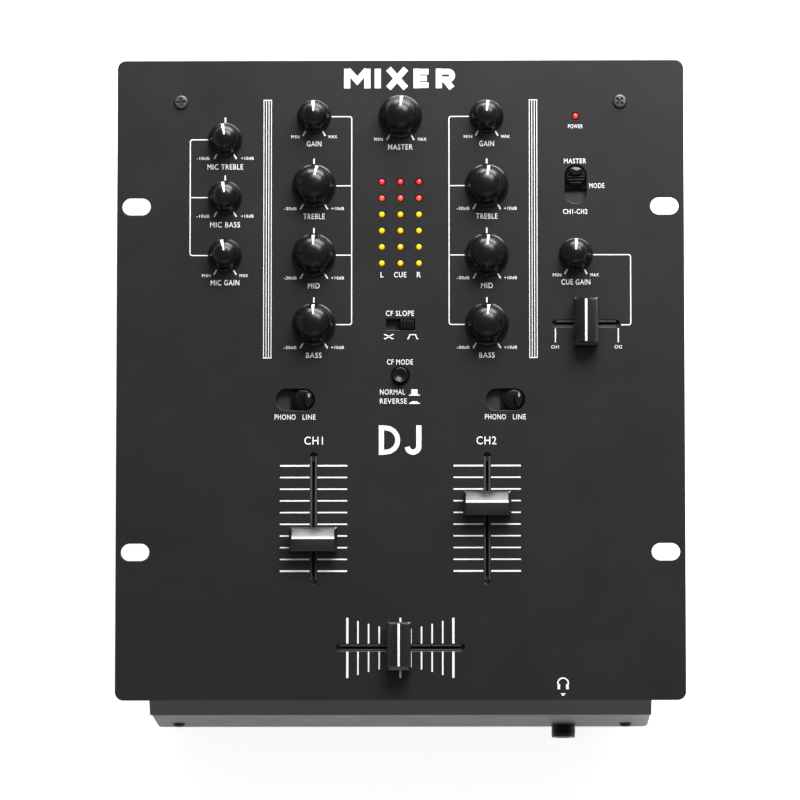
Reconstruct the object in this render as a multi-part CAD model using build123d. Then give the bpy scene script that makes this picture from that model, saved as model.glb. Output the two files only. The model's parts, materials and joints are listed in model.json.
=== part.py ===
from build123d import *
import math
import os

# A two-channel tabletop DJ mixer. Millimetres throughout. +X is the user's right, -Y faces the
# user, +Z is up. The origin lies on the surface under the feet, at the middle of the mixer.

# Faceplate: a steel sheet with rack ears and a sloping front lip
plate_width = 254.0
plate_length = 288.0
plate_thickness = 2.0
plate_corner = 3.8
plate_edge = 0.4
lip_forward = 6.0
lip_drop = 8.0

# Case under the faceplate
case_width = 223.2
case_height = 76.0
case_sheet = 1.2
case_bend = 2.0
rear_inset = 9.5
foot_height = 8.0
foot_radius = 8.5
foot_spacing_x = 188.0
foot_spacing_y = 232.0

# Rack slots in the ears
rack_spacing_x = 236.5
rack_spacing_y = 155.6
rack_slot_length = 12.7
rack_slot_width = 7.8

# Rows and columns of the rotary controls, measured from the middle of the faceplate
channel_x = 38.7
side_x = 78.5
top_row = 118.4
row_pitch = 31.37
mic_row = 108.0
mic_pitch = 26.2
turn_radius = 3.0

# Linear faders
channel_fader_y = -62.75
channel_slot = 58.7
channel_travel = 45.0
channel_1_rest = -10.1
channel_2_rest = 6.0
cross_y = -120.6
cross_slot = 57.3
cross_travel = 45.0
cue_fader_x = 82.9
cue_fader_y = 24.6
cue_slot = 29.8
cue_travel = 20.0
fader_slot_width = 3.1
crossfader_rest = -0.6
cap_length = 21.5
cap_width = 10.8
cap_height = 11.5
cap_gap = 1.3
cap_ridge = 1.0
cap_bevel = 1.2

# Slide switches, push button and lamps
source_switch_x = 46.95
source_switch_y = -9.5
mode_switch_y = 87.6
source_slot_length = 17.3
source_slot_width = 9.6
source_travel = 7.4
slope_switch_y = 24.3
slope_slot_length = 12.7
slope_slot_width = 4.9
slope_travel = 6.0
button_y = 1.2
button_radius = 3.5
button_travel = 2.5
lamp_radius = 1.5
lamp_pitch_x = 8.3
lamp_pitch_y = 7.35
lamp_top_y = 88.6
lamp_rows = 6
power_lamp_y = 118.3

# Sockets
jack_barrel = 5.25
jack_bore = 3.3
jack_depth = 30.0
front_jack_x = 73.0
front_jack_drop = 70.0
front_jack_reach = 5.4
mic_jack_x = -96.0
mic_jack_reach = 5.0
rear_socket_z = 46.0
rca_columns = (-76.0, -58.0, -24.0, -6.0, 14.0)
rca_pitch = 17.0
rca_reach = 8.8
rca_radius = 4.15
xlr_columns = (40.0, 70.0)
ground_x = -41.0
power_x = 97.0

# Heights and edges that follow from the sizes above
bottom_z = foot_height
under_z = bottom_z + case_height
top_z = under_z + plate_thickness
plate_y = (lip_forward + front_jack_reach) / 2
front_y = plate_y - plate_length / 2
wall_y = front_y - lip_forward
rear_y = plate_y + plate_length / 2 - rear_inset
board_z = under_z - 14.0
board_thickness = 1.6
running_gap = 0.05
free_gap = 0.4

# x, y, size, clockwise angle at which the pointer was left
ROTARY = {
    "mic_treble": (-side_x, mic_row, "small", -10),
    "mic_bass": (-side_x, mic_row - mic_pitch, "small", -8),
    "mic_gain": (-side_x, mic_row - 2 * mic_pitch, "small", -12),
    "channel_1_gain": (-channel_x, top_row, "small", -3),
    "channel_1_treble": (-channel_x, top_row - row_pitch, "medium", 11),
    "channel_1_mid": (-channel_x, top_row - 2 * row_pitch, "medium", -1),
    "channel_1_bass": (-channel_x, top_row - 3 * row_pitch, "medium", -1),
    "channel_2_gain": (channel_x, top_row, "small", 6),
    "channel_2_treble": (channel_x, top_row - row_pitch, "medium", 7),
    "channel_2_mid": (channel_x, top_row - 2 * row_pitch, "medium", 6),
    "channel_2_bass": (channel_x, top_row - 3 * row_pitch, "medium", 7),
    "master_level": (0.0, top_row, "medium", 5),
    "cue_gain": (side_x, top_row - 2 * row_pitch, "small", 2),
}

knob_lift = 0.6
knob_shoulder_height = 5.5

# skirt radius, body radius at its foot, body radius at its shoulder, height
KNOB_SIZES = {
    "small": (7.6, 6.9, 6.3, 12.0),
    "medium": (9.75, 8.85, 8.2, 14.0),
}

# x, y, slot length, travel, resting offset of the cap, angle of the travel from +X
FADERS = {
    "channel_1_fader": (-channel_x, channel_fader_y, channel_slot, channel_travel, channel_1_rest, 90),
    "channel_2_fader": (channel_x, channel_fader_y, channel_slot, channel_travel, channel_2_rest, 90),
    "crossfader": (0.0, cross_y, cross_slot, cross_travel, crossfader_rest, 0),
    "cue_fader": (cue_fader_x, cue_fader_y, cue_slot, cue_travel, 0.0, 0),
}

# x, y, slot length, slot width, travel, side of the slot where the lever rests, slot angle
SWITCHES = {
    "channel_1_source": (-source_switch_x, source_switch_y, source_slot_length, source_slot_width,
                         source_travel, 1, 0),
    "channel_2_source": (source_switch_x, source_switch_y, source_slot_length, source_slot_width,
                         source_travel, 1, 0),
    "cue_mode": (side_x, mode_switch_y, source_slot_length, source_slot_width, source_travel, 1, 90),
    "crossfader_slope": (0.0, slope_switch_y, slope_slot_length, slope_slot_width, slope_travel, 1, 0),
}

PLATE_SCREWS = [(-98.4, 125.0), (98.4, 125.0)]
BOARD_POSTS = [(-102, 104), (-58, 118), (58, 118), (102, 104), (-102, 18), (-62, 10), (62, 8), (102, 8)]


def on_plate(x, y, z=0.0):
    """A place on the faceplate, with z counted up from its top face."""
    return Pos(x, plate_y + y, top_z + z)


def block(x0, x1, y0, y1, z0, z1):
    """A box between two corners."""
    centre = Pos((x0 + x1) / 2, (y0 + y1) / 2, (z0 + z1) / 2)
    return centre * Box(x1 - x0, y1 - y0, z1 - z0)


def rod(radius, z0, z1):
    """An upright cylinder between two heights."""
    return Pos(0, 0, (z0 + z1) / 2) * Cylinder(radius, z1 - z0)


def rear_rod(radius, depth0, depth1):
    """A cylinder along +Y from depth0 to depth1, counted from the rear panel's outer face."""
    return Pos(0, (depth0 + depth1) / 2, 0) * Rot(90, 0, 0) * Cylinder(radius, depth1 - depth0)


def across(points, width):
    """A Y-Z outline stretched along X, centred on the middle plane."""
    outline = make_face(Plane.YZ * Polyline(*points, close=True))
    return extrude(outline, amount=width / 2, both=True)


def slot_tool(length, width, angle):
    """A round-ended slot that cuts through the faceplate."""
    sketch = Rot(0, 0, angle) * SlotOverall(length, width)
    return extrude(sketch, amount=2 * plate_thickness, both=True)


def bar_tool(length, width, angle):
    """A square-ended slot that cuts through the faceplate."""
    return Rot(0, 0, angle) * Box(length, width, 4 * plate_thickness)


def lip_points():
    """The Y-Z outline of the sloping front lip, outer face first."""
    slope = lip_forward / lip_drop
    edge = plate_thickness * math.hypot(lip_forward, lip_drop) / lip_drop
    toe_y = wall_y + edge
    return [
        (front_y, top_z),
        (wall_y, top_z - lip_drop),
        (toe_y, top_z - lip_drop),
        (toe_y + (lip_drop - plate_thickness) * slope, under_z),
    ]


def lamp_places():
    """The level meter's lamps as (x, y, row)."""
    places = []
    for row in range(lamp_rows):
        for column in (-1, 0, 1):
            places.append((column * lamp_pitch_x, lamp_top_y - row * lamp_pitch_y, row))
    return places


def make_faceplate():
    plate = extrude(RectangleRounded(plate_width, plate_length, plate_corner), amount=plate_thickness)
    plate = Pos(0, plate_y, under_z) * plate
    lip = across(lip_points() + [(front_y + 3 * plate_thickness, under_z),
                                 (front_y + 3 * plate_thickness, top_z)], case_width)
    plate = plate + lip
    cuts = []
    for side in (-1, 1):
        for end in (-1, 1):
            place = on_plate(side * rack_spacing_x / 2, end * rack_spacing_y / 2)
            cuts.append(place * slot_tool(rack_slot_length, rack_slot_width, 0))
    for x, y, style, angle in ROTARY.values():
        cuts.append(on_plate(x, y) * Cylinder(turn_radius + 0.9, 4 * plate_thickness))
    for x, y, length, travel, rest, angle in FADERS.values():
        cuts.append(on_plate(x, y) * slot_tool(length, fader_slot_width, angle))
    for name, (x, y, length, width, travel, side, angle) in SWITCHES.items():
        tool = bar_tool if name == "crossfader_slope" else slot_tool
        cuts.append(on_plate(x, y) * tool(length, width, angle))
    for x, y, row in lamp_places() + [(side_x, power_lamp_y, 0)]:
        cuts.append(on_plate(x, y) * Cylinder(lamp_radius + 0.1, 4 * plate_thickness))
    cuts.append(on_plate(0, button_y) * Cylinder(button_radius + 0.6, 4 * plate_thickness))
    for x, y in PLATE_SCREWS:
        cuts.append(on_plate(x, y) * Cylinder(1.7, 4 * plate_thickness))
    plate = plate - cuts
    rims = [edge for edge in plate.faces().sort_by(Axis.Z)[-1].edges() if not on_lip(edge)]
    return fillet(rims, plate_edge)


def on_lip(edge):
    """Whether an edge is the bend between the flat sheet and its sloping lip, or its cut ends."""
    return edge.center().Y < front_y + plate_corner + 0.5


def make_chassis_tub():
    back_y = rear_y - case_sheet
    lip = lip_points()
    outline = [(wall_y, bottom_z), lip[1], lip[2], lip[3], (back_y, under_z), (back_y, bottom_z)]
    tub = across(outline, case_width)
    low_edges = tub.edges().filter_by(Axis.Y).group_by(Axis.Z)[0]
    front_edges = tub.edges().filter_by(Axis.Z).group_by(Axis.Y)[0]
    tub = fillet(low_edges + front_edges, case_bend)
    half = case_width / 2 - case_sheet
    tub = tub - block(-half, half, wall_y + case_sheet, rear_y + 10, bottom_z + case_sheet, top_z + 10)
    for x, y in PLATE_SCREWS:
        edge = math.copysign(half, x)
        inner = math.copysign(abs(x) - 7, x)
        tab = block(min(edge, inner), max(edge, inner), plate_y + y - 7, back_y,
                    under_z - case_sheet, under_z)
        tub = tub + tab
        tub = tub - on_plate(x, y) * Cylinder(1.5, 4 * plate_thickness)
    jack = Pos(front_jack_x, wall_y, top_z - front_jack_drop) * Rot(90, 0, 0)
    tub = tub - jack * Cylinder(jack_barrel, 6 * case_sheet)
    for place in front_screw_places():
        tub = tub - place * Cylinder(1.5, 6 * case_sheet)
    return tub


def front_screw_places():
    """Frames of the two front screws, with Z pointing out of the front wall."""
    height = top_z - 59.0
    return [Pos(side * 101.0, wall_y, height) * Rot(90, 0, 0) for side in (-1, 1)]


def rear_screw_places():
    """Frames of the rear panel's corner screws, with Z pointing out of the panel."""
    places = []
    for side in (-1, 1):
        for height in (bottom_z + 7, under_z - 9):
            places.append(Pos(side * 107.0, rear_y, height) * Rot(-90, 0, 0))
    return places


def make_rear_panel():
    half = case_width / 2
    panel = block(-half, half, rear_y - case_sheet, rear_y, bottom_z, under_z)
    cuts = []
    for x, z in rca_places():
        cuts.append(Pos(x, rear_y, z) * rear_rod(rca_radius + 0.25, -9, 9))
    for x in xlr_columns:
        cuts.append(Pos(x, rear_y, rear_socket_z) * rear_rod(12.0, -9, 9))
    cuts.append(Pos(mic_jack_x, rear_y, rear_socket_z) * rear_rod(jack_barrel, -9, 9))
    cuts.append(Pos(power_x, rear_y, rear_socket_z - 20) * rear_rod(5.5, -9, 9))
    cuts.append(Pos(power_x, rear_y, rear_socket_z + 12) * Box(13, 18, 19))
    for z in ground_heights():
        cuts.append(Pos(ground_x, rear_y, z) * rear_rod(2.0, -9, 9))
    for place in rear_screw_places():
        cuts.append(place * Cylinder(1.5, 6 * case_sheet))
    return panel - cuts


def rca_places():
    """Every phono socket's centre on the rear panel, as (x, z)."""
    places = []
    for x in rca_columns:
        places.append((x, rear_socket_z + rca_pitch / 2))
        places.append((x, rear_socket_z - rca_pitch / 2))
    return places


def ground_heights():
    """Heights of the two ground posts."""
    return (rear_socket_z + rca_pitch / 2, rear_socket_z - rca_pitch / 2)


def make_screw(head_radius, head_height, shank):
    """A cross-recess pan-head screw, its seat at z = 0 and its shank pointing down."""
    head = Cylinder(head_radius, head_height)
    head = Pos(0, 0, head_height / 2) * head
    head = fillet(head.edges().group_by(Axis.Z)[-1], head_height * 0.6)
    recess = Box(head_radius * 1.1, 0.9, 1.2) + Box(0.9, head_radius * 1.1, 1.2)
    head = head - Pos(0, 0, head_height) * recess
    return head + rod(1.45, -shank, 0.2)


def make_faceplate_screws():
    return [on_plate(x, y) * make_screw(3.3, 1.5, 7.0) for x, y in PLATE_SCREWS]


def make_case_screws():
    places = front_screw_places() + rear_screw_places()
    return [place * make_screw(3.0, 1.5, 6.0) for place in places]


def make_feet():
    foot = Cone(foot_radius - 1.2, foot_radius, foot_height)
    foot = fillet(foot.edges().group_by(Axis.Z)[0], 1.0)
    feet = []
    for side in (-1, 1):
        for end in (-1, 1):
            place = Pos(side * foot_spacing_x / 2, plate_y + end * foot_spacing_y / 2, foot_height / 2)
            feet.append(place * foot)
    return feet


def make_boards():
    control = block(-106, 106, plate_y - 22, plate_y + 128, board_z, board_z + board_thickness)
    for x, y in BOARD_POSTS:
        control = control - Pos(x, plate_y + y, board_z) * Cylinder(1.6, 6)
    inner_y = rear_y - case_sheet - 14.0
    jack = block(-86, 24, inner_y - board_thickness, inner_y, rear_socket_z - 24, board_z - 2)
    return [control, jack]


def make_standoffs():
    posts = []
    for x, y in BOARD_POSTS:
        post = extrude(RegularPolygon(2.9, 6), amount=under_z - board_z - board_thickness)
        post = post - Cylinder(1.5, 8)
        posts.append(Pos(x, plate_y + y, board_z + board_thickness) * post)
    return posts


def make_pot_bodies():
    bodies = []
    low = board_z + board_thickness
    for x, y, style, angle in ROTARY.values():
        side = 11.0 if style == "medium" else 9.8
        case = block(-side / 2, side / 2, -side / 2, side / 2, low, under_z - 1.0)
        neck = rod(turn_radius + 0.6, under_z - 1.5, top_z + 3.0)
        collar = rod(turn_radius + 2.2, under_z - 1.2, under_z)
        bore = rod(turn_radius + running_gap, low + 2, top_z + 9)
        bodies.append(Pos(x, plate_y + y, 0) * (case + collar + neck - bore))
    return bodies


def make_shaft():
    """A potentiometer's turning shaft, at the origin, in the mixer's own heights."""
    shaft = rod(turn_radius, board_z + board_thickness + 3, top_z + 9.0)
    flat = block(turn_radius - 1.5, turn_radius + 1, -4, 4, top_z + 4.0, top_z + 10)
    return shaft - flat


def knob_body(style, swell):
    """A skirted knob that rises to a round dome, its body swollen by a small amount."""
    skirt, foot, shoulder, height = KNOB_SIZES[style]
    low = top_z + knob_lift
    rise = top_z + knob_shoulder_height
    dome = top_z + height - rise
    side = shoulder + swell
    with BuildPart() as knob:
        with BuildSketch(Plane.XZ):
            with BuildLine():
                Polyline((0, rise + dome), (0, low), (skirt - 0.3, low), (skirt, low + 0.5),
                         (skirt - 0.3, low + 1.0), (foot + swell, low + 1.4), (side, rise))
                ThreePointArc((side, rise), (side * 0.72, rise + dome * 0.70), (0, rise + dome))
            make_face()
        revolve(axis=Axis.Z)
    return knob.part


def make_knob(style):
    """A knob with its pointer, bored for its shaft and its bushing."""
    solid = knob_body(style, 0) + knob_pointer(style)
    return solid - rod(turn_radius + 1.3, top_z, top_z + 3.8) - make_shaft()


def knob_pointer(style):
    """The pointer on a knob's rear side, slightly proud of the dome."""
    skirt, foot, shoulder, height = KNOB_SIZES[style]
    return knob_body(style, 0.1) & block(-0.55, 0.55, shoulder * 0.4, skirt, top_z + 3, top_z + height)


def fader_frame(length, travel):
    """A fader's metal frame with a hollow for its carriage, travel along X, top at z = 0."""
    frame = block(-length / 2 - 8, length / 2 + 8, -5.5, 5.5, -9.0, 0)
    room = travel / 2 + 5.2
    frame = frame - block(-room, room, -4.3, 4.3, -7.8, -1.0)
    return frame - block(-room + 2, room - 2, -1.4, 1.4, -2, 1)


def make_fader_frames():
    frames = []
    for x, y, length, travel, rest, angle in FADERS.values():
        place = on_plate(x, y, -plate_thickness) * Rot(0, 0, angle)
        frames.append(place * fader_frame(length, travel))
    return frames


def fader_place(name):
    """The frame of a fader's moving parts at rest, with X along the travel."""
    x, y, length, travel, rest, angle = FADERS[name]
    return on_plate(x, y) * Rot(0, 0, angle) * Pos(rest, 0, 0)


def make_carriage(name):
    """The sliding block and the metal tongue that carries the cap."""
    block_top = -plate_thickness - 1.4
    carriage = block(-4.0, 4.0, -3.9, 3.9, -plate_thickness - 7.3, block_top)
    tongue = block(-2.0, 2.0, -0.6, 0.6, block_top - 0.5, cap_gap + 6.0)
    return fader_place(name) * (carriage + tongue)


def make_cap(name):
    """A fader cap: upright sides, two slopes up to a narrow ridge, and ends that step in."""
    side = cap_width / 2
    end = cap_length / 2
    ridge = cap_ridge / 2
    top = cap_gap + cap_height
    eave = top - (side - ridge)
    across = Polyline((-side, cap_gap), (side, cap_gap), (side, eave), (ridge, top), (-ridge, top),
                      (-side, eave), close=True)
    along = Polyline((-end, cap_gap), (end, cap_gap), (end, eave), (end - cap_bevel, eave + cap_bevel),
                     (end - cap_bevel, top), (cap_bevel - end, top), (cap_bevel - end, eave + cap_bevel),
                     (-end, eave), close=True)
    roof = extrude(Plane.XZ * make_face(across), amount=end, both=True)
    gables = extrude(Plane.YZ * make_face(along), amount=side, both=True)
    shell = (roof & gables) - block(-2.0, 2.0, -0.6, 0.6, 0, cap_gap + 6.0)
    return fader_place(name) * shell


def switch_depth(width):
    """How deep a slide switch's housing is."""
    return 5.0 if width < 6 else 6.5


def make_switch_housings():
    housings = []
    for x, y, length, width, travel, side, angle in SWITCHES.values():
        deep = switch_depth(width)
        outer = block(-length / 2 - 3, length / 2 + 3, -width / 2 - 2, width / 2 + 2, -deep, 0)
        room = block(-length / 2 - 1.6, length / 2 + 1.6, -width / 2 - 0.9, width / 2 + 0.9, -2.4, 1)
        place = on_plate(x, y, -plate_thickness) * Rot(0, 0, angle)
        housings.append(place * (outer - room))
    low = board_z + board_thickness
    push = block(-5, 5, -5, 5, low, under_z - 5.0) - rod(1.6, low + 2, top_z)
    housings.append(Pos(0, plate_y + button_y, 0) * push)
    return housings


def make_lever(name):
    """A slide switch's lever: a flat slider under the faceplate and a grip in the slot."""
    x, y, length, width, travel, side, angle = SWITCHES[name]
    grip_length = length - travel - 2 * free_gap
    grip_width = width - 2 * free_gap
    slider = block(-grip_length / 2 - 1.2, grip_length / 2 + 1.2, -width / 2 - 0.4, width / 2 + 0.4,
                   -plate_thickness - 2.1, -plate_thickness - 0.2)
    grip_top = 1.0 if width < 6 else 2.6
    if width < 6:
        grip = block(-grip_length / 2, grip_length / 2, -grip_width / 2, grip_width / 2, -2.5, grip_top)
    else:
        grip = Pos(0, 0, -2.5) * extrude(SlotOverall(grip_length + 0.01, grip_width), amount=grip_top + 2.5)
    place = on_plate(x, y) * Rot(0, 0, angle) * Pos(side * travel / 2, 0, 0)
    return place * (slider + grip)


def make_reverse_button():
    """The latching crossfader-reverse button with its stem."""
    cap = rod(button_radius, under_z - 1.8, top_z + 3.0)
    cap = fillet(cap.edges().group_by(Axis.Z)[-1], 0.8)
    flange = rod(button_radius + 1.4, under_z - 1.9, under_z - 0.3)
    stem = rod(1.55, board_z + board_thickness + 2 + button_travel + 0.5, under_z - 1.5)
    return Pos(0, plate_y + button_y, 0) * (cap + flange + stem)


def make_lamp():
    """A 3 mm lamp: flange, barrel and dome, standing on its two legs."""
    legs = Pos(-0.65, 0, 0) * rod(0.25, board_z + board_thickness, under_z - 3)
    legs = legs + Pos(0.65, 0, 0) * rod(0.25, board_z + board_thickness, under_z - 3)
    barrel = rod(lamp_radius, under_z - 3.5, top_z - 0.2)
    flange = rod(lamp_radius + 0.35, under_z - 3.5, under_z - 2.6)
    dome = Pos(0, 0, top_z - 0.2) * Sphere(lamp_radius)
    return legs + barrel + flange + dome


def make_lamps(first_row, last_row, with_power):
    places = [(x, y) for x, y, row in lamp_places() if first_row <= row <= last_row]
    if with_power:
        places.append((side_x, power_lamp_y))
    lamp = make_lamp()
    return [Pos(x, plate_y + y, 0) * lamp for x, y in places]


def quarter_inch_jack(reach):
    """A 6.35 mm socket at the origin: its mouth points along +Y, the wall's face is at y = 0."""
    barrel = rear_rod(jack_barrel, -4, reach)
    body = Pos(0, 0, 0) * block(-8, 8, reach - jack_depth - 3, -case_sheet, -6.2, 7.5)
    return barrel + body - rear_rod(jack_bore, reach - jack_depth, reach + 1)


def make_quarter_inch_jacks():
    front = Pos(front_jack_x, wall_y, top_z - front_jack_drop) * Rot(0, 0, 180)
    rear = Pos(mic_jack_x, rear_y, rear_socket_z)
    return [front * quarter_inch_jack(front_jack_reach), rear * quarter_inch_jack(mic_jack_reach)]


def make_rca_shells():
    shell = rear_rod(rca_radius, -case_sheet - 1, rca_reach) - rear_rod(rca_radius - 0.6, -4, rca_reach + 1)
    return [Pos(x, rear_y, z) * shell for x, z in rca_places()]


def make_rca_blocks():
    """Each block stands behind the panel and fills its two shells with insulation."""
    blocks = []
    for x in rca_columns:
        base = block(-6.5, 6.5, -14, -case_sheet - 1, -rca_pitch / 2 - 6.5, rca_pitch / 2 + 6.5)
        for end in (-1, 1):
            insert = rear_rod(rca_radius - 0.6, -case_sheet - 1.5, rca_reach - 0.8)
            base = base + Pos(0, 0, end * rca_pitch / 2) * insert
            base = base - Pos(0, 0, end * rca_pitch / 2) * rear_rod(1.7, -3, rca_reach + 1)
        blocks.append(Pos(x, rear_y, rear_socket_z) * base)
    return blocks


def make_xlr_outputs():
    """Male three-pin sockets with square flanges."""
    flange = Rot(90, 0, 0) * extrude(RectangleRounded(26, 31, 3), amount=-2.0)
    socket = flange + rear_rod(11.7, -20, 1) - rear_rod(9.4, -14, 3)
    for x, z in ((-4.0, 3.2), (4.0, 3.2), (0, -5.0)):
        socket = socket + Pos(x, 0, z) * rear_rod(1.2, -15, -1.5)
    for x, z in ((-9.5, 12.0), (9.5, -12.0)):
        socket = socket - Pos(x, 0, z) * rear_rod(1.6, -1, 3)
    return [Pos(x, rear_y, rear_socket_z) * socket for x in xlr_columns]


def make_ground_posts():
    posts = []
    for z in ground_heights():
        post = rear_rod(2.0, -8, 8.5) + rear_rod(4.2, 1.0, 6.5) + rear_rod(4.8, 0, 0.8)
        post = post + rear_rod(3.6, -case_sheet - 2.5, -case_sheet)
        posts.append(Pos(ground_x, rear_y, z) * post)
    return posts


def make_power_inlet():
    inlet = rear_rod(7.0, 0, 1.5) + rear_rod(5.5, -10, 1.5) - rear_rod(2.85, -8.5, 2)
    inlet = inlet + rear_rod(1.0, -9, -0.5)
    return Pos(power_x, rear_y, rear_socket_z - 20) * inlet


def make_rocker_housing():
    frame = block(-7.5, 7.5, 0, 2.0, -10.5, 10.5) + block(-6.5, 6.5, -13, 1, -9.5, 9.5)
    frame = frame - block(-5.3, 5.3, -9, 3, -8.2, 8.2)
    return Pos(power_x, rear_y, rear_socket_z + 12) * frame


def make_power_rocker():
    """The rocker leans on its lower half at rest, with its pivot along X."""
    points = [(2.3, 0), (3.4, 7.3), (-4.2, 6.0), (-4.2, -6.0), (3.4, -7.3)]
    rocker = across(points, 9.8)
    return Pos(power_x, rear_y, rear_socket_z + 12) * Rot(-8, 0, 0) * rocker


def save(name, shape):
    """Write one node's solids to its own file."""
    shape = Compound(children=list(shape)) if isinstance(shape, (list, ShapeList)) else shape
    export_step(shape, f"parts/{name}.step")


os.makedirs("parts", exist_ok=True)

save("faceplate", make_faceplate())
save("chassis_tub", make_chassis_tub())
save("rear_panel", make_rear_panel())
save("faceplate_screws", make_faceplate_screws())
save("case_screws", make_case_screws())
save("rubber_feet", make_feet())
save("circuit_boards", make_boards())
save("board_standoffs", make_standoffs())
save("pot_bodies", make_pot_bodies())
save("fader_frames", make_fader_frames())
save("switch_housings", make_switch_housings())
save("red_lamps", make_lamps(0, 1, True))
save("amber_lamps", make_lamps(2, lamp_rows - 1, False))
save("quarter_inch_jacks", make_quarter_inch_jacks())
save("rca_shells", make_rca_shells())
save("rca_blocks", make_rca_blocks())
save("xlr_outputs", make_xlr_outputs())
save("ground_posts", make_ground_posts())
save("power_inlet", make_power_inlet())
save("rocker_housing", make_rocker_housing())
save("power_rocker", make_power_rocker())
save("reverse_button", make_reverse_button())

for name, (x, y, style, angle) in ROTARY.items():
    place = Pos(x, plate_y + y, 0) * Rot(0, 0, -angle)
    save(f"{name}_shaft", place * make_shaft())
    save(f"{name}_knob", place * make_knob(style))

for name in FADERS:
    save(f"{name}_carriage", make_carriage(name))
    save(f"{name}_cap", make_cap(name))

for name in SWITCHES:
    save(f"{name}_lever", make_lever(name))
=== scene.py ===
import json
import math

import bmesh
import bpy
from mathutils import Matrix, Vector


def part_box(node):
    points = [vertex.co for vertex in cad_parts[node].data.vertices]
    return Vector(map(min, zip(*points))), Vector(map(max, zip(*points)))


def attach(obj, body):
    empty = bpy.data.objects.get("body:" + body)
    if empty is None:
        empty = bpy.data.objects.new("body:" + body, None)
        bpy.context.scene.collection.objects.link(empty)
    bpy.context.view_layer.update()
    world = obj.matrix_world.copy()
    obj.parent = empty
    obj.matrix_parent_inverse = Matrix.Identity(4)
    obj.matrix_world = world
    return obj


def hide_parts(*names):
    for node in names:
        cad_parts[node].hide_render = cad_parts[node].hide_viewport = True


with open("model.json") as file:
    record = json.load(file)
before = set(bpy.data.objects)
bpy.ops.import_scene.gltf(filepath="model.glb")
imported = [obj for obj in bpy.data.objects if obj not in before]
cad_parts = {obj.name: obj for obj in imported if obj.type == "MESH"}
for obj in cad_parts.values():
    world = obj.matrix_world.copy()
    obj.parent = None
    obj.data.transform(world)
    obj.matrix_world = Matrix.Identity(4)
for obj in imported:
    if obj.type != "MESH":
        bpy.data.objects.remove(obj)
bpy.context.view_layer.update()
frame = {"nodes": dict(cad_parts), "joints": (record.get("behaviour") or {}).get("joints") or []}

# Lengths are written in millimetres and turned into the frame's metres with MM. Places on the
# faceplate are (x, y) from its middle, and heights there are above its top face.
MM = 0.001
PLATE_LENGTH = 288.0
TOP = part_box("faceplate")[1].z
MIDDLE_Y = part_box("faceplate")[1].y - PLATE_LENGTH * MM / 2
WALL_FACE = MIDDLE_Y - 150.0 * MM
PANEL_FACE = MIDDLE_Y + 134.5 * MM
FORWARD = Matrix.Rotation(math.pi / 2, 4, "X")
BACKWARD = Matrix.Rotation(-math.pi / 2, 4, "X")
JOINTS = {joint["name"]: joint for joint in frame["joints"]}
ROOT = "mixer"


def on_plate(x, y, z=0.0):
    """A point on the faceplate, in the frame's metres."""
    return Vector((x * MM, MIDDLE_Y + y * MM, TOP + z * MM))


# ---------------------------------------------------------------- materials

def node(tree, kind, **values):
    """A shader node with its input values set by name."""
    made = tree.nodes.new(kind)
    for name, value in values.items():
        made.inputs[name.replace("_", " ")].default_value = value
    return made


def noise_value(tree, coords, scale, detail, low, high):
    """Noise of that scale, mapped from its middle range to low..high."""
    noise = node(tree, "ShaderNodeTexNoise", Scale=scale, Detail=detail)
    tree.links.new(coords, noise.inputs["Vector"])
    remap = node(tree, "ShaderNodeMapRange", From_Min=0.3, From_Max=0.7, To_Min=low, To_Max=high)
    tree.links.new(noise.outputs["Fac"], remap.inputs["Value"])
    return remap.outputs["Result"]


def surface(name, dark, light, rough, grain, bump, metallic=0.0, blotch=60.0, shine=0.5):
    """A finish whose colour, roughness and relief all vary: rough is (low, high), grain the
    relief's scale per metre and bump its height in metres."""
    material = bpy.data.materials.new(name)
    material.use_nodes = True
    tree = material.node_tree
    shader = tree.nodes["Principled BSDF"]
    shader.inputs["Metallic"].default_value = metallic
    shader.inputs["Specular IOR Level"].default_value = shine
    coords = tree.nodes.new("ShaderNodeTexCoord").outputs["Object"]
    tone = noise_value(tree, coords, blotch, 4.0, 0.0, 1.0)
    mix = tree.nodes.new("ShaderNodeMix")
    mix.data_type = "RGBA"
    mix.inputs["A"].default_value = (*dark, 1)
    mix.inputs["B"].default_value = (*light, 1)
    tree.links.new(tone, mix.inputs["Factor"])
    tree.links.new(mix.outputs["Result"], shader.inputs["Base Color"])
    polish = noise_value(tree, coords, blotch * 2.5, 5.0, rough[0], rough[1])
    tree.links.new(polish, shader.inputs["Roughness"])
    relief = noise_value(tree, coords, grain, 3.0, 0.0, 1.0)
    bumps = node(tree, "ShaderNodeBump", Strength=1.0, Distance=bump)
    tree.links.new(relief, bumps.inputs["Height"])
    tree.links.new(bumps.outputs["Normal"], shader.inputs["Normal"])
    return material


def glow(material, colour, strength):
    """Lights a lens from inside, fading towards the foot of its dome."""
    tree = material.node_tree
    shader = tree.nodes["Principled BSDF"]
    shader.inputs["Emission Color"].default_value = (*colour, 1)
    place = tree.nodes.new("ShaderNodeSeparateXYZ")
    tree.links.new(tree.nodes.new("ShaderNodeTexCoord").outputs["Object"], place.inputs["Vector"])
    fade = node(tree, "ShaderNodeMapRange", From_Min=TOP + 0.55 * MM, From_Max=TOP + 1.22 * MM,
                To_Min=0.03, To_Max=strength)
    tree.links.new(place.outputs["Z"], fade.inputs["Value"])
    tree.links.new(fade.outputs["Result"], shader.inputs["Emission Strength"])
    return material


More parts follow.
